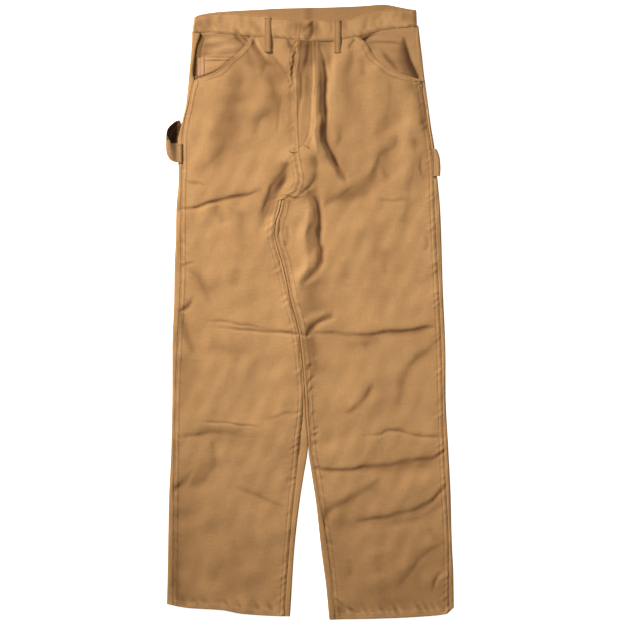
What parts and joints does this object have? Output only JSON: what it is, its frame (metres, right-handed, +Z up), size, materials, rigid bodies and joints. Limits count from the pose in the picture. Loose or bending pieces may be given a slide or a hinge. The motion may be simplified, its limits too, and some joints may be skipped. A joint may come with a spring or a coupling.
{
  "type": "carpenter pants",
  "caption": "Straight-leg carpenter pants in tan cotton duck, laid flat front up, with scooped pockets, a fly flap and a hammer loop standing out at the hip.",
  "frame": {"origin": "centre of the garment's outline, on the floor it lies on", "axes": "+X to the viewer's right across the garment, +Y from the hems to the waist, +Z up off the floor, out of the front"},
  "size_m": [0.5133, 1.095, 0.0132],
  "materials": {
    "duck": "matt woven cotton duck, tan",
    "trim": "the same duck, folded and stitched",
    "facing": "the same duck in the shade of the pocket",
    "zip": "woven zip tape"
  },
  "bodies": {
    "root": {"front_right": "duck", "front_left": "duck", "back_right": "duck", "back_left": "duck", "waistband_right": "duck", "waistband_left": "duck", "pocket_facing_right": "facing", "pocket_facing_left": "facing", "coin_pocket": "duck", "fly_zip": "zip", "belt_loop_right": "trim", "belt_loop_left": "trim", "hammer_loop": "trim", "hip_strap_left": "trim"}
  },
  "joints": []
}
